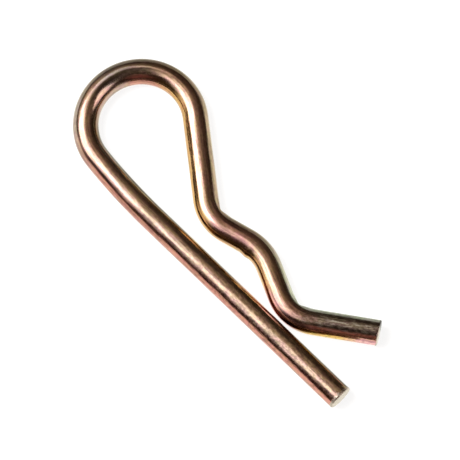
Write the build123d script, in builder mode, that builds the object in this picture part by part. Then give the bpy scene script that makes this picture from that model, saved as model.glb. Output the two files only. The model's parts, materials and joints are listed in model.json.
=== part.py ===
"""Hitch pin clip, bent from one length of round spring steel wire. Millimetres.

The clip lies flat, as it comes to rest. Its straight leg runs along +X to a sheared end,
its round loop is at -X, and its waved leg comes back on the +Y side of the straight leg.
The straight leg goes through the cross hole of a pin, whose axis is parallel to Z, and the
hump of the waved leg wraps the outside of that pin.

The centreline follows four forming circles that the wire is bent round. Their heights are
set from the axis of the straight leg (y = 0), and they are spaced along it from the pin
(x = 0) by the straight runs of wire between the bends.
"""

import os
from math import asin, atan2, cos, radians, sin, sqrt

from build123d import *

# The wire, and the pin that it locks
wire_diameter = 6.35
edge_break = 0.3
pin_diameter = 19.05
spring_grip = 0.5

# The straight leg beyond the pin, and the slow bend that leads it into the loop
leg_end_to_pin = 40.4
entry_radius = 162.0
entry_angle = 7.2

# The loop, and the run from it to the waist bend
loop_inside_diameter = 20.5
loop_run = 20.8

# The waist bend, which leaves a gap over the straight leg, and the run to the hump
waist_gap = 3.75
waist_inside_radius = 7.2
waist_run = 5.6

# The run from the hump to the nip bend, which almost meets the straight leg, and the tail
hump_run = 7.8
nip_gap = 0.55
nip_inside_radius = 7.1
tail_angle = 34.7
tail_length = 16.3

# The nose of the die that pinches the inside of the waist and of the nip to a corner
die_nose_radius = 1.2
die_setback = 0.03

wire_radius = wire_diameter / 2
loop_radius = loop_inside_diameter / 2 + wire_radius
waist_radius = waist_inside_radius + wire_radius
hump_radius = pin_diameter / 2 + wire_radius
nip_radius = nip_inside_radius + wire_radius


def circle_spacing(run, radii, rise):
    """Spacing along X of two forming circles that a straight run joins by crossing between."""
    return sqrt(run**2 + sum(radii) ** 2 - rise**2)


def crossing_run(start, start_radius, end, end_radius, side):
    """Ends of the straight run from one forming circle to the next, which bends the other way.

    side is 1 where the run leaves a circle on its right and meets one on its left, and -1
    where it leaves one on its left and meets one on its right.
    """
    span = end - start
    heading = atan2(span.Y, span.X) - side * asin((start_radius + end_radius) / span.length)
    left = Vector(-sin(heading), cos(heading))
    return start + left * side * start_radius, end - left * side * end_radius


# Heights of the centres of the forming circles
entry_turn = radians(entry_angle)
entry_rise = entry_radius * (1 - cos(entry_turn))
loop_height = entry_rise + loop_radius * cos(entry_turn)
waist_height = wire_diameter + waist_gap + waist_radius
hump_height = -spring_grip
nip_height = wire_diameter + nip_gap + nip_radius

# Centres of the forming circles, from the pin out both ways
hump = Vector(0, hump_height)
nip_spacing = circle_spacing(hump_run, (hump_radius, nip_radius), nip_height - hump_height)
nip = Vector(nip_spacing, nip_height)
waist_spacing = circle_spacing(waist_run, (hump_radius, waist_radius), waist_height - hump_height)
waist = Vector(-waist_spacing, waist_height)
loop_spacing = circle_spacing(loop_run, (loop_radius, waist_radius), loop_height - waist_height)
loop = Vector(waist.X - loop_spacing, loop_height)

# The straight leg stops where the slow bend starts, and both are tangent to what follows
leg_end = Vector(leg_end_to_pin, 0)
entry_start = Vector(loop.X + (entry_radius - loop_radius) * sin(entry_turn), 0)

# The centreline, from the end of the straight leg round to the end of the tail
with BuildLine() as centreline:
    straight = Line(leg_end, entry_start)
    entry = JernArc(entry_start, straight % 1, entry_radius, -entry_angle)

    loop_to_waist = Line(crossing_run(loop, loop_radius, waist, waist_radius, 1))
    TangentArc(entry @ 1, loop_to_waist @ 0, tangent=entry % 1)

    waist_to_hump = Line(crossing_run(waist, waist_radius, hump, hump_radius, -1))
    waist_bend = TangentArc(loop_to_waist @ 1, waist_to_hump @ 0, tangent=loop_to_waist % 1)

    hump_to_nip = Line(crossing_run(hump, hump_radius, nip, nip_radius, 1))
    TangentArc(waist_to_hump @ 1, hump_to_nip @ 0, tangent=waist_to_hump % 1)

    tail_root = nip + Vector(0, -nip_radius).rotate(Axis.Z, tail_angle)
    nip_bend = TangentArc(hump_to_nip @ 1, tail_root, tangent=hump_to_nip % 1)
    PolarLine(tail_root, tail_length, tail_angle)


def die_profile(bend, centre, inside_radius):
    """Wedge whose flanks carry on the insides of the two runs, to a rounded nose in the bend."""
    half_turn = radians((bend % 0).get_angle(bend % 1)) / 2
    reach = inside_radius - die_setback
    nose = (reach / cos(half_turn), 0)
    heel = (reach * cos(half_turn), reach * sin(half_turn))
    with BuildSketch(Plane(centre, x_dir=bend @ 0.5 - centre)) as profile:
        with BuildLine():
            Polyline(nose, heel, (heel[0], -heel[1]), close=True)
        make_face()
        fillet(profile.vertices().sort_by(Axis.X)[-1], die_nose_radius)
    return profile.sketch


waist_die = die_profile(waist_bend, waist, waist_inside_radius)
nip_die = die_profile(nip_bend, nip, nip_inside_radius)

# The wire, with the sharp edge of each sheared end broken, and the corners that the die leaves
with BuildPart() as clip_wire:
    with BuildSketch(Plane(origin=leg_end, z_dir=straight % 0)):
        Circle(wire_radius)
    sweep(path=centreline.wire())
    fillet(faces().filter_by(GeomType.PLANE).edges(), edge_break)
    for profile in (waist_die, nip_die):
        extrude(profile, amount=wire_diameter, both=True, mode=Mode.SUBTRACT)

# Stand the clip on z = 0, with the middle of its outline over the origin
outline = clip_wire.part.bounding_box()
clip_wire.part.move(Location((-outline.center().X, -outline.center().Y, -outline.min.Z)))

os.makedirs("parts", exist_ok=True)
clip_wire.part.label = "clip_wire"
export_step(clip_wire.part, "parts/clip_wire.step")
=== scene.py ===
"""Looks of the hitch pin clip: one zinc plated steel wire on a white table, in metres.

A finer mesh of the wire, on the same centreline, stands for the solid. Its point attribute
wire_place says how far along the wire a point is, from the straight end, and how far left of
and above its axis, as on plain round wire. The material follows it.
"""

import json
import math
from collections import namedtuple

import bpy
import numpy as np
from mathutils import Matrix, Vector


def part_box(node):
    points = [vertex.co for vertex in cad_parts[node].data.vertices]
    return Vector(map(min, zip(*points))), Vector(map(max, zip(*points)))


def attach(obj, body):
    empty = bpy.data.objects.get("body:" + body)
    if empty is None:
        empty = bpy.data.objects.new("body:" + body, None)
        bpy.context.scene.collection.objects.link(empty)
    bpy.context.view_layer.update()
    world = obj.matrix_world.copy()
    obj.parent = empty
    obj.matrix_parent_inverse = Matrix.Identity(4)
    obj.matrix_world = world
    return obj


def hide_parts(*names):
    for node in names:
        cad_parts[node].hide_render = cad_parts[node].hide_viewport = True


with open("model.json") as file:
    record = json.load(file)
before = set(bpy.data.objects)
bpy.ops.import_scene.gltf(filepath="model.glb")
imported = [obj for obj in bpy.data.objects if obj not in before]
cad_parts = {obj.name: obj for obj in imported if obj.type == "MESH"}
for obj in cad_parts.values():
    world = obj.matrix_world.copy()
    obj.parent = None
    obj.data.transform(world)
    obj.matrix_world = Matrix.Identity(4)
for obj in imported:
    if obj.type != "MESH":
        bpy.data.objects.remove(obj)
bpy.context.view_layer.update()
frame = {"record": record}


def mount(name):
    """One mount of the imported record."""
    return next(item for item in frame["record"]["mounts"] if item["name"] == name)


def mount_place(name):
    """Where a mount is."""
    return Vector(mount(name)["pos_m"])


def mount_radius(name):
    """The radius of a mount, which the record has in millimetres."""
    return mount(name)["dims"]["r_mm"] / 1000


# The wire and the circles that its centreline is bent round, as in the solid
WIRE_RADIUS = mount_radius("straight_leg")
ENTRY_RADIUS = 0.162
ENTRY_TURN = math.radians(7.2)
LOOP_RADIUS = mount_radius("loop_eye") + WIRE_RADIUS
LOOP_RUN = 0.0208
WAIST_GAP = 0.00375
WAIST_INSIDE_RADIUS = 0.0072
WAIST_RADIUS = WAIST_INSIDE_RADIUS + WIRE_RADIUS
WAIST_RUN = 0.0056
HUMP_RADIUS = mount_radius("pin_grip") + WIRE_RADIUS
HUMP_DROP = 0.0005
HUMP_RUN = 0.0078
NIP_GAP = 0.00055
NIP_INSIDE_RADIUS = 0.0071
NIP_RADIUS = NIP_INSIDE_RADIUS + WIRE_RADIUS
TAIL_TURN = math.radians(34.7)
TAIL_LENGTH = 0.0163

# The nose of the die that pinches the inside of the waist and of the nip to a corner
DIE_NOSE_RADIUS = 0.0012
PINCHED_BENDS = ("waist", "nip")

# The pucker on the inside of the hump: how high, how long, and where along the bend
PUCKER_HEIGHT = 0.0003
PUCKER_LENGTH = 0.0014
PUCKER_PLACE = 0.23

# The tail is sheared a little off square: how much shorter its right side is, and over what length
TAIL_SKEW = 0.00035
TAIL_SKEW_LENGTH = 0.003

# The rounding of the sheared ends, and the rings that it has
END_ROUNDING = 0.00035
END_RINGS = 7

# The spacing of the other rings, the points in a ring, and the angle that counts as a sharp edge
RING_STEP = 0.0004
RING_POINTS = 96
RING_TURNS = np.arange(RING_POINTS) * 2 * math.pi / RING_POINTS
SHARP_ANGLE = math.radians(35)

# The two ways that a bend can turn, and how far past a leg's end a ring still counts as on it
TO_LEFT = 1
TO_RIGHT = -1
LEG_TOLERANCE = 1e-9

# The view: where the camera stands, how far, and the size of what it takes in
VIEW_AZIMUTH = math.radians(53.13)
VIEW_ELEVATION = math.radians(75.52)
VIEW_ROLL = math.radians(8.59)
VIEW_DISTANCE = 1.2
VIEW_WIDTH = 0.1113
VIEW_CENTRE_RIGHT = -0.001284
VIEW_CENTRE_UP = -0.002906
SENSOR_WIDTH = 36.0

# A leg starts at a place and a heading, and its curvature is positive to the left. A station is
# a ring of the wire: how far along it, at which place, heading and radius, on which leg, and how
# far into that leg
Circle = namedtuple("Circle", "centre radius")
Leg = namedtuple("Leg", "name start heading length curvature")
Station = namedtuple("Station", "along place heading radius leg distance")


def left_of(heading):
    """The direction to the left of a heading."""
    return np.array([-math.sin(heading), math.cos(heading)])


def ahead_of(heading):
    """The direction of a heading."""
    return np.array([math.cos(heading), math.sin(heading)])


def circle_spacing(run, radii, rise):
    """Spacing along X of two forming circles that a straight run joins by crossing between."""
    return math.sqrt(run**2 + sum(radii) ** 2 - rise**2)


def forming_circles():
    """The loop, waist, hump and nip, with the axis of the locked pin at the origin."""
    entry_rise = ENTRY_RADIUS * (1 - math.cos(ENTRY_TURN))
    loop_height = entry_rise + LOOP_RADIUS * math.cos(ENTRY_TURN)
    waist_height = 2 * WIRE_RADIUS + WAIST_GAP + WAIST_RADIUS
    nip_height = 2 * WIRE_RADIUS + NIP_GAP + NIP_RADIUS

    nip_reach = circle_spacing(HUMP_RUN, (HUMP_RADIUS, NIP_RADIUS), nip_height + HUMP_DROP)
    waist_reach = circle_spacing(WAIST_RUN, (HUMP_RADIUS, WAIST_RADIUS), waist_height + HUMP_DROP)
    loop_reach = circle_spacing(LOOP_RUN, (LOOP_RADIUS, WAIST_RADIUS), loop_height - waist_height)

    loop = Circle(np.array([-waist_reach - loop_reach, loop_height]), LOOP_RADIUS)
    waist = Circle(np.array([-waist_reach, waist_height]), WAIST_RADIUS)
    hump = Circle(np.array([0.0, -HUMP_DROP]), HUMP_RADIUS)
    nip = Circle(np.array([nip_reach, nip_height]), NIP_RADIUS)
    return loop, waist, hump, nip


def crossing_heading(start, end, side):
    """Heading of the straight run that crosses between two circles, into a bend to that side."""
    span = end.centre - start.centre
    offset = math.asin((start.radius + end.radius) / math.hypot(*span))
    return math.atan2(span[1], span[0]) - side * offset


class Centreline:
    """Straight runs and bends, each of which goes on from the one before it."""

    def __init__(self, place, heading):
        self.place = place
        self.heading = heading
        self.legs = []

    def run(self, name, length):
        """Adds a straight leg."""
        self.legs.append(Leg(name, self.place, self.heading, length, 0.0))
        self.place = self.place + ahead_of(self.heading) * length

    def bend(self, name, radius, new_heading, side):
        """Adds a bend to one side, up to the new heading."""
        turn = side * ((side * (new_heading - self.heading)) % (2 * math.pi))
        self.legs.append(Leg(name, self.place, self.heading, radius * abs(turn), side / radius))
        centre = self.place + left_of(self.heading) * side * radius
        self.heading += turn
        self.place = centre - left_of(self.heading) * side * radius


def wire_legs():
    """The legs of the centreline from the straight end, with the locked pin at the origin."""
    loop, waist, hump, nip = forming_circles()
    leg_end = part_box("clip_wire")[1].x - mount_place("pin_grip").x
    entry_start = loop.centre[0] + (ENTRY_RADIUS - LOOP_RADIUS) * math.sin(ENTRY_TURN)

    line = Centreline(np.array([leg_end, 0.0]), math.pi)
    line.run("straight", leg_end - entry_start)
    line.bend("entry", ENTRY_RADIUS, math.pi - ENTRY_TURN, TO_RIGHT)
    line.bend("loop", LOOP_RADIUS, crossing_heading(loop, waist, TO_LEFT), TO_RIGHT)
    line.run("loop_run", LOOP_RUN)
    line.bend("waist", WAIST_RADIUS, crossing_heading(waist, hump, TO_RIGHT), TO_LEFT)
    line.run("waist_run", WAIST_RUN)
    line.bend("hump", HUMP_RADIUS, crossing_heading(hump, nip, TO_LEFT), TO_RIGHT)
    line.run("hump_run", HUMP_RUN)
    line.bend("nip", NIP_RADIUS, TAIL_TURN, TO_LEFT)
    line.run("tail", TAIL_LENGTH)
    return line.legs


def leg_at(legs, along):
    """The leg that is there along the wire, and how far into it that is."""
    distance = along
    for leg in legs[:-1]:
        if distance <= leg.length + LEG_TOLERANCE:
            return leg, distance
        distance -= leg.length
    return legs[-1], distance


def point_on(leg, distance):
    """Place and heading at a distance along one leg of the centreline."""
    if leg.curvature == 0.0:
        return leg.start + ahead_of(leg.heading) * distance, leg.heading
    turned = leg.heading + leg.curvature * distance
    centre = leg.start + left_of(leg.heading) / leg.curvature
    return centre - left_of(turned) / leg.curvature, turned


def ring_marks(length):
    """How far along the wire each ring is, and its radius."""
    rounding = []
    for step in range(END_RINGS):
        angle = math.pi / 2 * step / (END_RINGS - 1)
        inset = END_ROUNDING * (1 - math.cos(angle))
        rounding.append((inset, WIRE_RADIUS - END_ROUNDING * (1 - math.sin(angle))))
    count = round((length - 2 * END_ROUNDING) / RING_STEP)
    inner = np.linspace(END_ROUNDING, length - END_ROUNDING, count + 1)[1:-1]
    marks = rounding + [(along, WIRE_RADIUS) for along in inner]
    return marks + [(length - along, radius) for along, radius in reversed(rounding)]


def wire_stations(legs):
    """Every ring of the wire, with its place and heading and the leg that it is on."""
    stations = []
    for along, radius in ring_marks(sum(leg.length for leg in legs)):
        leg, distance = leg_at(legs, along)
        place, heading = point_on(leg, distance)
        stations.append(Station(along, place, heading, radius, leg, distance))
    return stations


def die_wall(angle, half_turn, inside_radius):
    """How far from the middle of a bend the die's wedge reaches, at an angle off its nose."""
    turn = abs(angle)
    if turn >= half_turn:
        return 0.0
    nose_centre = (inside_radius - DIE_NOSE_RADIUS) / math.cos(half_turn)
    nose_end = math.atan2(DIE_NOSE_RADIUS * math.sin(half_turn),
                          nose_centre + DIE_NOSE_RADIUS * math.cos(half_turn))
    if turn > nose_end:
        return inside_radius / math.cos(turn - half_turn)
    offset = nose_centre * math.sin(turn)
    return nose_centre * math.cos(turn) + math.sqrt(DIE_NOSE_RADIUS**2 - offset**2)


def pinch(across, station):
    """Offsets across the wire of one ring, pressed out to the die's wedge inside the bend."""
    length = station.leg.length
    radius = 1 / abs(station.leg.curvature)
    inward = math.copysign(1.0, station.leg.curvature)
    angle = (station.distance - length / 2) / radius
    wall = die_wall(angle, length / radius / 2, radius - WIRE_RADIUS)
    return inward * (radius - np.maximum(radius - inward * across, wall))


def pucker(across, station):
    """Offsets of one ring of the hump, where the metal is crowded out on its inside."""
    inward = math.copysign(1.0, station.leg.curvature)
    share = np.clip(inward * across / WIRE_RADIUS, 0.0, 1.0) ** 2
    off_middle = (station.distance - station.leg.length * PUCKER_PLACE) / PUCKER_LENGTH
    return across + inward * PUCKER_HEIGHT * math.exp(-off_middle**2) * share


def skew(across, station):
    """How far ahead the points of one ring of the tail are pushed, below 0 as it gets shorter."""
    nearness = max(0.0, 1 - (station.leg.length - station.distance) / TAIL_SKEW_LENGTH)
    return -TAIL_SKEW * nearness**2 * (1 - across / WIRE_RADIUS) / 2


def ring_offsets(station):
    """One ring of the wire, as offsets to the left, up and ahead."""
    across = station.radius * np.cos(RING_TURNS)
    lift = station.radius * np.sin(RING_TURNS)
    push = np.zeros(RING_POINTS)
    if station.leg.name in PINCHED_BENDS:
        across = pinch(across, station)
    if station.leg.name == "hump":
        across = pucker(across, station)
    if station.leg.name == "tail":
        push = skew(across, station)
    return across, lift, push


def wire_points(stations):
    """The points of every ring, and what wire_place says of them."""
    pin = mount_place("pin_grip")
    round_across = WIRE_RADIUS * np.cos(RING_TURNS)
    round_lift = WIRE_RADIUS * np.sin(RING_TURNS)
    points = []
    places = []
    for station in stations:
        across, lift, push = ring_offsets(station)
        flat = station.place + np.outer(across, left_of(station.heading))
        flat = flat + np.outer(push, ahead_of(station.heading))
        points += zip(pin.x + flat[:, 0], pin.y + flat[:, 1], WIRE_RADIUS + lift)
        places += zip(np.full(RING_POINTS, station.along), round_across, round_lift)
    return points, places


def side_faces(rings):
    """The faces between each ring and the next."""
    faces = []
    for near in range(0, (rings - 1) * RING_POINTS, RING_POINTS):
        far = near + RING_POINTS
        for step in range(RING_POINTS):
            other = (step + 1) % RING_POINTS
            faces.append((near + step, near + other, far + other, far + step))
    return faces


def close_end(points, faces, ring, is_start):
    """Adds the middle of an end ring, and the triangles round it, which face out."""
    rim = [ring * RING_POINTS + step for step in range(RING_POINTS)]
    middle = len(points)
    points.append(tuple(sum((Vector(points[index]) for index in rim), Vector()) / RING_POINTS))
    for step, first in enumerate(rim):
        second = rim[(step + 1) % RING_POINTS]
        faces.append((first, middle, second) if is_start else (second, middle, first))


def build_wire():
    """The wire as one closed mesh, swept along the centreline of the solid, and its length."""
    stations = wire_stations(wire_legs())
    points, places = wire_points(stations)
    faces = side_faces(len(stations))
    for ring, is_start in ((0, True), (len(stations) - 1, False)):
        close_end(points, faces, ring, is_start)
        places.append((stations[ring].along, 0.0, 0.0))
    mesh = bpy.data.meshes.new("clip_wire_dressed")
    mesh.from_pydata(points, [], faces)
    mesh.polygons.foreach_set("use_smooth", [True] * len(mesh.polygons))
    mesh.set_sharp_from_angle(angle=SHARP_ANGLE)
    attribute = mesh.attributes.new("wire_place", "FLOAT_VECTOR", "POINT")
    attribute.data.foreach_set("vector", np.array(places, np.float32).ravel())
    mesh.update()
    piece = bpy.data.objects.new("clip_wire_dressed", mesh)
    bpy.context.scene.collection.objects.link(piece)
    return piece, stations[-1].along


class Graph:
    """Short names for building a node tree."""

    def __init__(self, tree):
        self.nodes = tree.nodes
        self.links = tree.links

    def put(self, socket, value):
        """Gives a socket another socket's output, or a constant."""
        if isinstance(value, bpy.types.NodeSocket):
            self.links.new(value, socket)
        else:
            socket.default_value = value

    def math(self, operation, *values):
        """Arithmetic on numbers."""
        node = self.nodes.new("ShaderNodeMath")
        node.operation = operation
        for socket, value in zip(node.inputs, values):
            self.put(socket, value)
        return node.outputs["Value"]

    def vector_math(self, operation, *values, output="Vector"):
        """Arithmetic on vectors or colours."""
        node = self.nodes.new("ShaderNodeVectorMath")
        node.operation = operation
        for socket, value in zip(node.inputs, values):
            self.put(socket, value)
        return node.outputs[output]

    def scaled(self, vector, scale):
        """A vector or colour times a number."""
        node = self.nodes.new("ShaderNodeVectorMath")
        node.operation = "SCALE"
        self.put(node.inputs[0], vector)
        self.put(node.inputs["Scale"], scale)
        return node.outputs["Vector"]

    def fade(self, value, low, high, low_out=0.0, high_out=1.0):
        """A smooth change from low_out to high_out while value goes from low to high."""
        node = self.nodes.new("ShaderNodeMapRange")
        node.interpolation_type = "SMOOTHSTEP"
        self.put(node.inputs["Value"], value)
        node.inputs["From Min"].default_value = low
        node.inputs["From Max"].default_value = high
        node.inputs["To Min"].default_value = low_out
        node.inputs["To Max"].default_value = high_out
        return node.outputs["Result"]

    def mix(self, factor, first, second, blend="MIX"):
        """Two colours, the second laid over the first by factor."""
        node = self.nodes.new("ShaderNodeMix")
        node.data_type = "RGBA"
        node.blend_type = blend
        self.put(node.inputs["Factor"], factor)
        self.put(node.inputs["A"], first)
        self.put(node.inputs["B"], second)
        return node.outputs["Result"]

    def noise(self, place, kind):
        """Noise from 0 to 1 over places on the wire."""
        stretch = (kind.along, kind.across, kind.across)
        node = self.nodes.new("ShaderNodeTexNoise")
        node.inputs["Scale"].default_value = 1.0
        node.inputs["Detail"].default_value = kind.detail
        vector = self.vector_math("MULTIPLY_ADD", place, stretch, (kind.seed, kind.seed, kind.seed))
        self.put(node.inputs["Vector"], vector)
        return node.outputs["Fac"]

    def ramp(self, value, bands):
        """Colours of a value, from bands (start, end, colour) with a blend between each two."""
        stops = []
        for start, end, colour in bands:
            stops.append((start, colour))
            if end > start:
                stops.append((end, colour))
        node = self.nodes.new("ShaderNodeValToRGB")
        elements = node.color_ramp.elements
        while len(elements) < len(stops):
            elements.new(0.5)
        for element, (position, colour) in zip(elements, stops):
            element.position = position
            element.color = colour
        self.put(node.inputs["Fac"], value)
        return node.outputs["Color"]

    def bump(self, height, distance):
        """A bump node of full strength."""
        node = self.nodes.new("ShaderNodeBump")
        node.inputs["Distance"].default_value = distance
        node.inputs["Strength"].default_value = 1.0
        self.put(node.inputs["Height"], height)
        return node


# Colours of the passivation film, thin on top of the wire and thicker at its sides. The darker and
# brighter of them are partly painted shade and painted reflection, for what the lamps and room show
THIN = (0.66, 0.485, 0.38, 1.0)
PALE = (0.71, 0.49, 0.38, 1.0)
APRICOT = (0.56, 0.36, 0.28, 1.0)
GREY = (0.42, 0.37, 0.35, 1.0)
DULL = (0.35, 0.295, 0.27, 1.0)
ROSE = (0.45, 0.21, 0.16, 1.0)
SAND = (0.47, 0.38, 0.31, 1.0)
KHAKI = (0.38, 0.28, 0.18, 1.0)
SAGE = (0.53, 0.55, 0.44, 1.0)
# Painted shade: a near black brown for the dark reflections down the wire's right side
SHADE_BROWN = (0.15, 0.10, 0.06, 1.0)
ORANGE = (0.62, 0.24, 0.09, 1.0)
GOLD = (0.58, 0.37, 0.10, 1.0)
AMBER = (0.50, 0.28, 0.09, 1.0)
OLIVE = (0.45, 0.35, 0.21, 1.0)
ASH = (0.45, 0.39, 0.31, 1.0)
UMBER = (0.34, 0.25, 0.15, 1.0)
HONEY = (0.58, 0.38, 0.17, 1.0)
STRAW = (0.68, 0.45, 0.25, 1.0)
BUFF = (0.38, 0.27, 0.22, 1.0)
WINE = (0.54, 0.31, 0.30, 1.0)
CORAL = (0.74, 0.38, 0.28, 1.0)
MAUVE = (0.68, 0.41, 0.36, 1.0)
TAN = (0.58, 0.40, 0.29, 1.0)
PLUM = (0.42, 0.19, 0.18, 1.0)
PINK = (0.60, 0.32, 0.34, 1.0)
BLUSH = (0.80, 0.46, 0.48, 1.0)

# Bands of film along the wire, as shares of its length from the straight end: on top, down its
# left side, along its right shoulder, and at its right side. Besides the film's own colours they hold
# painted reflection and shade, lighter or darker where the lamps and the dim room show in the metal
TOP_FILM_AND_PAINTED_LIGHT = ((0.0, 0.37, THIN), (0.40, 0.465, PALE), (0.50, 0.50, GREY), (0.56, 0.74, PALE),
            (0.765, 0.80, MAUVE), (0.82, 0.87, TAN), (0.885, 0.905, APRICOT), (0.935, 1.0, DULL))
LEFT_FILM_AND_PAINTED_LIGHT = ((0.0, 0.38, ROSE), (0.45, 0.53, SAND), (0.57, 0.80, KHAKI), (0.90, 1.0, SAGE))
SHOULDER_FILM_AND_PAINTED_LIGHT = ((0.0, 0.33, OLIVE), (0.36, 0.40, ASH), (0.42, 0.44, UMBER), (0.46, 0.51, BUFF),
                 (0.53, 0.55, ROSE), (0.58, 0.75, HONEY), (0.765, 0.79, BLUSH),
                 (0.81, 0.86, STRAW), (0.88, 0.91, WINE), (0.93, 1.0, CORAL))
RIGHT_FILM_AND_PAINTED_LIGHT = ((0.0, 0.115, SHADE_BROWN), (0.13, 0.17, ORANGE), (0.19, 0.235, SHADE_BROWN), (0.25, 0.25, GOLD),
              (0.265, 0.42, SHADE_BROWN), (0.46, 0.51, BUFF), (0.53, 0.55, ROSE), (0.60, 0.74, AMBER),
              (0.77, 0.85, STRAW), (0.87, 0.905, PLUM), (0.92, 0.955, GOLD), (0.98, 1.0, PINK))

# Where across the wire those three start to cover the film on top, and where they have covered
# it, as shares of its radius, positive to the left
LEFT_EDGE = (0.35, 0.75)
SHOULDER_EDGE = (-0.35, -0.62)
RIGHT_EDGE = (-0.74, -0.90)

# Patches over the film: painted shade at the loop's top and by the entry, painted reflection on the
# hump's right rim, and a pink blush at the nip. Where along the wire, as a share of its length, and
# how far to each side of there, where across it, as a share of its radius, and how far, and the
# colour
Patch = namedtuple("Patch", "place length middle width colour")
# Painted shade: the loop's top is dark, where its reflection goes dark
LOOP_PAINTED_SHADE = Patch(0.510, 0.075, -0.10, 0.25, (0.13, 0.10, 0.08, 1.0))
# Painted shade: a dark line on the left side by the entry
ENTRY_PAINTED_SHADE = Patch(0.385, 0.05, 0.63, 0.16, (0.11, 0.06, 0.05, 1.0))
# Painted reflection: a brighter amber band on the hump's right rim
HUMP_RIM_PAINTED_REFLECTION = Patch(0.785, 0.075, -0.86, 0.42, (0.56, 0.34, 0.16, 1.0))
NIP_BLUSH = Patch(0.880, 0.025, -0.73, 0.16, (0.80, 0.52, 0.60, 1.0))
PATCHES = (LOOP_PAINTED_SHADE, ENTRY_PAINTED_SHADE, HUMP_RIM_PAINTED_REFLECTION, NIP_BLUSH)

# The share of a patch's size within which it covers the film
PATCH_CORE = 0.3

# Noise over the wire: features in a metre along and across it, detail, and seed
Noise = namedtuple("Noise", "along across detail seed")
SWAY = Noise(150.0, 250.0, 2.0, 11.0)
HUE = Noise(600.0, 1100.0, 2.0, 5.0)
DRAWN_LINES = Noise(120.0, 1600.0, 2.0, 0.0)
GRAIN = Noise(1000.0, 1600.0, 2.0, 7.0)
WAVES = Noise(150.0, 700.0, 1.0, 3.0)
SCUFFS = Noise(500.0, 1800.0, 3.0, 23.0)
CRYSTALS = Noise(900.0, 1400.0, 3.0, 17.0)
NOISE_MIDDLE = 0.5

# How much the sway moves the film, along the wire as a share of its length and across it as a
# share of its radius
SWAY_ALONG = 0.03
SWAY_ACROSS = 0.25

# Two tints of the film, and the values of the hue noise where it leaves one and reaches the other
PINKER = (1.0, 0.89, 0.99, 1.0)
YELLOWER = (1.0, 1.01, 0.92, 1.0)
HUE_RANGE = (0.35, 0.65)

# The grain is fainter between the ends: where along the wire that starts and stops, as shares of
# its length, and how much of the grain is lost there
SMOOTH_START = (0.14, 0.30)
SMOOTH_END = (0.92, 0.88)
SMOOTH_LOSS = 0.55

# The film's shades where its mottle is low and high, and its roughness where the grain is so
MOTTLE_RANGE = (0.40, 0.59)
MOTTLE_SHADES = (0.62, 1.12)
GRAIN_RANGE = (0.3, 0.7)
GRAIN_ROUGHNESS = (0.12, 0.20)

# The depths of the bumps of the mottle and of the slow waves
MOTTLE_DEPTH = 0.00004
WAVE_DEPTH = 0.00008

# Bare zinc in scuffs on the tail: its colour, the values of the noise where it starts to show and
# is bare, and the same along the wire and across it, as shares of its length and its radius
SCUFF_COLOUR = (0.64, 0.59, 0.56, 1.0)
SCUFF_RANGE = (0.50, 0.62)
SCUFF_START = (0.90, 0.94)
SCUFF_SIDES = (0.7, 0.4)

# The sheared faces, where the zinc is pale: colour, shades where the crystals are low and high,
# added roughness, how far from the straight end and the tail's they stop, and how raggedly
END_COLOUR = (0.53, 0.44, 0.37)
CRYSTAL_RANGE = (0.35, 0.60)
CRYSTAL_SHADES = (0.70, 1.05)
END_ROUGHNESS = 0.25
START_REACH = (0.0009, 0.0006)
TAIL_REACH = (0.0004, 0.0002)
END_RAGGEDNESS = 0.0016

# Painted shade on the left side of the tail's face: its colour, and where across the wire it starts
# and is full
TAIL_FACE_SHADE_COLOUR = (0.12, 0.10, 0.10, 1.0)
TAIL_FACE_SHADE_SPAN = (0.15, 0.45)

Spot = namedtuple("Spot", "place along share across")


def wire_spot(graph, length):
    """Where the shaded point is: its wire_place, the metres along the wire, and the shares of
    the wire's length along it and of its radius across it, which sway a little."""
    attribute = graph.nodes.new("ShaderNodeAttribute")
    attribute.attribute_name = "wire_place"
    place = attribute.outputs["Vector"]
    parts = graph.nodes.new("ShaderNodeSeparateXYZ")
    graph.put(parts.inputs["Vector"], place)
    along = parts.outputs["X"]
    sway = graph.math("SUBTRACT", graph.noise(place, SWAY), NOISE_MIDDLE)
    share = graph.math("DIVIDE", along, length)
    across = graph.math("DIVIDE", parts.outputs["Y"], WIRE_RADIUS)
    return Spot(place, along, graph.math("MULTIPLY_ADD", sway, SWAY_ALONG, share),
                graph.math("MULTIPLY_ADD", sway, SWAY_ACROSS, across))


def patch_cover(graph, spot, patch):
    """How much of the film a patch covers."""
    off_place = graph.math("ABSOLUTE", graph.math("SUBTRACT", spot.share, patch.place))
    off_middle = graph.math("ABSOLUTE", graph.math("SUBTRACT", spot.across, patch.middle))
    return graph.math("MULTIPLY", graph.fade(off_place, patch.length, PATCH_CORE * patch.length),
                      graph.fade(off_middle, patch.width, PATCH_CORE * patch.width))


def film_and_painted_light(graph, spot):
    """The film's colour with painted reflection and shade, which changes along and across the wire.
    """
    film_and_light = graph.ramp(spot.share, TOP_FILM_AND_PAINTED_LIGHT)
    sides = ((LEFT_EDGE, LEFT_FILM_AND_PAINTED_LIGHT), (SHOULDER_EDGE, SHOULDER_FILM_AND_PAINTED_LIGHT), (RIGHT_EDGE, RIGHT_FILM_AND_PAINTED_LIGHT))
    for edge, bands in sides:
        film_and_light = graph.mix(graph.fade(spot.across, *edge), film_and_light, graph.ramp(spot.share, bands))
    for patch in PATCHES:
        film_and_light = graph.mix(patch_cover(graph, spot, patch), film_and_light, patch.colour)
    hue = graph.fade(graph.noise(spot.place, HUE), *HUE_RANGE)
    return graph.mix(1.0, film_and_light, graph.mix(hue, PINKER, YELLOWER), "MULTIPLY")


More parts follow.
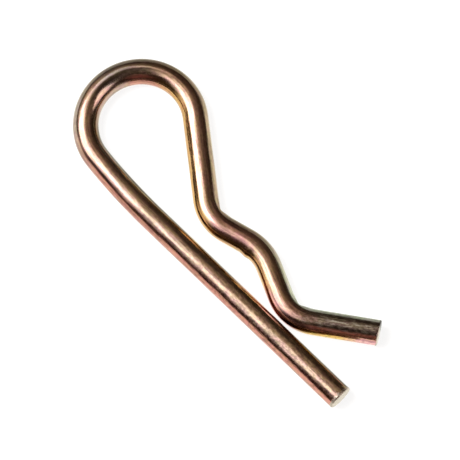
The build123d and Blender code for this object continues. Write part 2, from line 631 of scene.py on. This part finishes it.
def fine_grain(graph, spot):
    """The grain of the wire, from 0 to 1."""
    smooth = graph.math("MULTIPLY", graph.fade(spot.share, *SMOOTH_START),
                        graph.fade(spot.share, *SMOOTH_END))
    strength = graph.math("MULTIPLY_ADD", smooth, -SMOOTH_LOSS, 1.0)
    grain = graph.math("SUBTRACT", graph.noise(spot.place, GRAIN), NOISE_MIDDLE)
    return graph.math("MULTIPLY_ADD", grain, strength, NOISE_MIDDLE)


def scuffed(graph, spot, film_and_light):
    """The film with its painted reflection and shade, worn through to bare zinc in places."""
    scuffs = graph.math("MULTIPLY", graph.fade(spot.share, *SCUFF_START),
                        graph.fade(graph.noise(spot.place, SCUFFS), *SCUFF_RANGE))
    inner = graph.fade(graph.math("ABSOLUTE", spot.across), *SCUFF_SIDES)
    return graph.mix(graph.math("MULTIPLY", scuffs, inner), film_and_light, SCUFF_COLOUR)


def sheared_ends(graph, spot, length, crystals):
    """Which points are on a sheared face, and which on the tail's, from 0 to 1."""
    crystal = graph.math("SUBTRACT", crystals, NOISE_MIDDLE)
    ragged = graph.math("MULTIPLY", crystal, END_RAGGEDNESS)
    from_start = graph.math("ADD", spot.along, ragged)
    from_tail = graph.math("ADD", graph.math("SUBTRACT", length, spot.along), ragged)
    tail_end = graph.fade(from_tail, *TAIL_REACH)
    return graph.math("MAXIMUM", graph.fade(from_start, *START_REACH), tail_end), tail_end


def sheared_zinc(graph, spot, tail_end, crystals):
    """The colour of the sheared faces, with painted shade on the left side of the tail's face."""
    pale = graph.scaled(END_COLOUR, graph.fade(crystals, *CRYSTAL_RANGE, *CRYSTAL_SHADES))
    face_shade = graph.math("MULTIPLY", tail_end, graph.fade(spot.across, *TAIL_FACE_SHADE_SPAN))
    return graph.mix(face_shade, pale, TAIL_FACE_SHADE_COLOUR)


def zinc_plating(length):
    """Yellow passivated zinc over drawn steel wire of that length, with painted reflection and shade
    in its colour.
    """
    material = bpy.data.materials.new("zinc_plated_wire")
    material.use_nodes = True
    graph = Graph(material.node_tree)
    spot = wire_spot(graph, length)

    grain = fine_grain(graph, spot)
    both = graph.math("ADD", graph.noise(spot.place, DRAWN_LINES), grain)
    mottle = graph.math("MULTIPLY", both, 0.5)
    shade = graph.fade(mottle, *MOTTLE_RANGE, *MOTTLE_SHADES)
    film_and_light = scuffed(graph, spot, graph.scaled(film_and_painted_light(graph, spot), shade))

    crystals = graph.noise(spot.place, CRYSTALS)
    end, tail_end = sheared_ends(graph, spot, length, crystals)
    roughness = graph.fade(grain, *GRAIN_RANGE, *GRAIN_ROUGHNESS)
    fine = graph.bump(graph.math("MULTIPLY_ADD", crystals, end, mottle), MOTTLE_DEPTH)
    wavy = graph.bump(graph.noise(spot.place, WAVES), WAVE_DEPTH)
    graph.put(wavy.inputs["Normal"], fine.outputs["Normal"])

    shader = graph.nodes["Principled BSDF"]
    shader.inputs["Metallic"].default_value = 1.0
    sheared = sheared_zinc(graph, spot, tail_end, crystals)
    graph.put(shader.inputs["Base Color"], graph.mix(end, film_and_light, sheared))
    graph.put(shader.inputs["Roughness"], graph.math("MULTIPLY_ADD", end, END_ROUGHNESS, roughness))
    graph.put(shader.inputs["Normal"], wavy.outputs["Normal"])
    return material


# Round soft lamps in the world: azimuth, elevation, half width and softness in degrees, colour
# and strength
Lamp = namedtuple("Lamp", "azimuth elevation half_width softness colour strength")
KEY = Lamp(214, 54, 26, 8, (0.95, 0.97, 1.0), 1.25)
KEY_CORE = Lamp(213, 49, 18, 7, (0.94, 0.94, 1.0), 2.15)
KEY_SIDE = Lamp(239, 31, 12, 5, (0.90, 0.95, 1.0), 1.0)
KEY_HALO = Lamp(190, 54, 26, 25, (1.0, 0.84, 0.55), 0.38)
SKYLIGHT = Lamp(154, 59, 8, 6, (0.88, 0.97, 1.0), 0.68)
FILL = Lamp(20, 38, 12, 12, (1.0, 0.88, 0.84), 2.6)
CEILING = Lamp(80, 72, 20, 18, (1.0, 0.82, 0.62), 0.11)
LOW = Lamp(315, 33, 12, 12, (1.0, 0.58, 0.52), 0.19)
WALL = Lamp(236, 7, 12, 8, (1.0, 0.88, 0.74), 1.0)
LAMPS = (KEY, KEY_CORE, KEY_SIDE, KEY_HALO, SKYLIGHT, FILL, CEILING, LOW, WALL)

# The colour of the room all round, and of the white board below the horizon, which gets dimmer
# towards one azimuth. It starts at cosines of the angle from straight down, and gets dimmer
# between cosines of the angle from that azimuth, from one level to the other
SURROUNDINGS = (0.060, 0.042, 0.028)
BOARD = (1.42, 1.50, 1.40)
BOARD_FAR_SIDE = 140
BOARD_START = (-0.15, 0.15)
BOARD_FADE = (0.12, 1.2)
BOARD_LEVELS = (1.0, 0.15)

# The lamp that lights the table
TABLE_LAMP_SIZE = 0.6
TABLE_LAMP_POWER = 14.0
TABLE_LAMP_DISTANCE = 1.0
TABLE_LAMP_AZIMUTH = 212
TABLE_LAMP_ELEVATION = 60

# The table, which is darker and glows where the camera sees it, so that it is just white and
# keeps a shadow
TABLE_SIZE = 1.2
TABLE_COLOUR = (0.8, 0.8, 0.8, 1.0)
SEEN_TABLE_COLOUR = (0.18, 0.18, 0.18, 1.0)
SEEN_TABLE_GLOW = 0.87
WHITE = (1.0, 1.0, 1.0, 1.0)


def direction(azimuth, elevation):
    """A direction in the frame, by degrees round from +X and up from the table."""
    turn = math.radians(azimuth)
    rise = math.radians(elevation)
    return Vector((math.cos(rise) * math.cos(turn), math.cos(rise) * math.sin(turn), math.sin(rise)))


def nearness(graph, towards):
    """How near a direction of the world is to another, as the cosine of the angle between."""
    coordinates = graph.nodes.new("ShaderNodeTexCoord")
    return graph.vector_math("DOT_PRODUCT", coordinates.outputs["Generated"], towards, output="Value")


def lamp_glow(graph, lamp):
    """The world's colour from one lamp."""
    inner = math.cos(math.radians(lamp.half_width - lamp.softness))
    outer = math.cos(math.radians(lamp.half_width + lamp.softness))
    light = [channel * lamp.strength for channel in lamp.colour]
    towards = direction(lamp.azimuth, lamp.elevation)
    return graph.scaled(light, graph.fade(nearness(graph, towards), outer, inner))


def board_glow(graph):
    """The world's colour from the board."""
    below = graph.fade(nearness(graph, (0, 0, -1)), *BOARD_START)
    far = nearness(graph, direction(BOARD_FAR_SIDE, 0))
    level = graph.fade(far, *BOARD_FADE, *BOARD_LEVELS)
    return graph.scaled(BOARD, graph.math("MULTIPLY", below, level))


def light_world():
    """Dim warm surroundings with soft lamps, and white where the camera sees past the table."""
    world = bpy.data.worlds.new("studio")
    bpy.context.scene.world = world
    world.use_nodes = True
    graph = Graph(world.node_tree)
    total = SURROUNDINGS
    for glow in [lamp_glow(graph, lamp) for lamp in LAMPS] + [board_glow(graph)]:
        total = graph.vector_math("ADD", total, glow)
    rays = graph.nodes.new("ShaderNodeLightPath")
    colour = graph.mix(rays.outputs["Is Camera Ray"], total, WHITE)
    graph.put(graph.nodes["Background"].inputs["Color"], colour)


def light_table():
    """A broad lamp, at the left of the photograph, for the table and what is matt, not for gloss."""
    data = bpy.data.lights.new("table_lamp", "AREA")
    data.shape = "SQUARE"
    data.size = TABLE_LAMP_SIZE
    data.energy = TABLE_LAMP_POWER
    lamp = bpy.data.objects.new("table_lamp", data)
    bpy.context.scene.collection.objects.link(lamp)
    towards = direction(TABLE_LAMP_AZIMUTH, TABLE_LAMP_ELEVATION)
    lamp.location = towards * TABLE_LAMP_DISTANCE
    lamp.rotation_euler = towards.to_track_quat("Z", "Y").to_euler()
    lamp.visible_glossy = False


def build_floor():
    """The table, matt and white, which is left out of reflections."""
    bpy.ops.mesh.primitive_plane_add(size=TABLE_SIZE, location=(0, 0, 0))
    floor = bpy.context.object
    floor.name = "table"
    material = bpy.data.materials.new("white_table")
    material.use_nodes = True
    graph = Graph(material.node_tree)
    shader = graph.nodes["Principled BSDF"]
    shader.inputs["Roughness"].default_value = 1.0
    shader.inputs["Specular IOR Level"].default_value = 0.0
    shader.inputs["Emission Color"].default_value = WHITE
    seen = graph.nodes.new("ShaderNodeLightPath").outputs["Is Camera Ray"]
    graph.put(shader.inputs["Base Color"], graph.mix(seen, TABLE_COLOUR, SEEN_TABLE_COLOUR))
    graph.put(shader.inputs["Emission Strength"], graph.math("MULTIPLY", seen, SEEN_TABLE_GLOW))
    floor.visible_glossy = False
    floor.data.materials.append(material)


def view_axes():
    """Right, up and forward of the camera, in the frame."""
    right = Vector((math.cos(VIEW_AZIMUTH), math.sin(VIEW_AZIMUTH), 0.0))
    level = Vector((-math.sin(VIEW_AZIMUTH), math.cos(VIEW_AZIMUTH), 0.0))
    forward = level * math.cos(VIEW_ELEVATION) - Vector((0, 0, math.sin(VIEW_ELEVATION)))
    up = right.cross(forward)
    rolled_right = right * math.cos(VIEW_ROLL) - up * math.sin(VIEW_ROLL)
    rolled_up = right * math.sin(VIEW_ROLL) + up * math.cos(VIEW_ROLL)
    return rolled_right, rolled_up, forward


def build_camera():
    """The camera, which looks down on the clip as the photograph does."""
    data = bpy.data.cameras.new("camera")
    camera = bpy.data.objects.new("camera", data)
    bpy.context.scene.collection.objects.link(camera)
    data.sensor_width = SENSOR_WIDTH
    data.lens = SENSOR_WIDTH * VIEW_DISTANCE / VIEW_WIDTH
    right, up, forward = view_axes()
    aim = Vector((0, 0, WIRE_RADIUS)) + right * VIEW_CENTRE_RIGHT + up * VIEW_CENTRE_UP
    turn = Matrix((right, up, -forward)).transposed().to_4x4()
    camera.matrix_world = Matrix.Translation(aim - forward * VIEW_DISTANCE) @ turn
    bpy.context.scene.camera = camera


bpy.context.scene.view_settings.view_transform = "Standard"
wire, wire_length = build_wire()
wire.data.materials.append(zinc_plating(wire_length))
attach(wire, "root")
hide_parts("clip_wire")
light_world()
light_table()
build_floor()
build_camera()
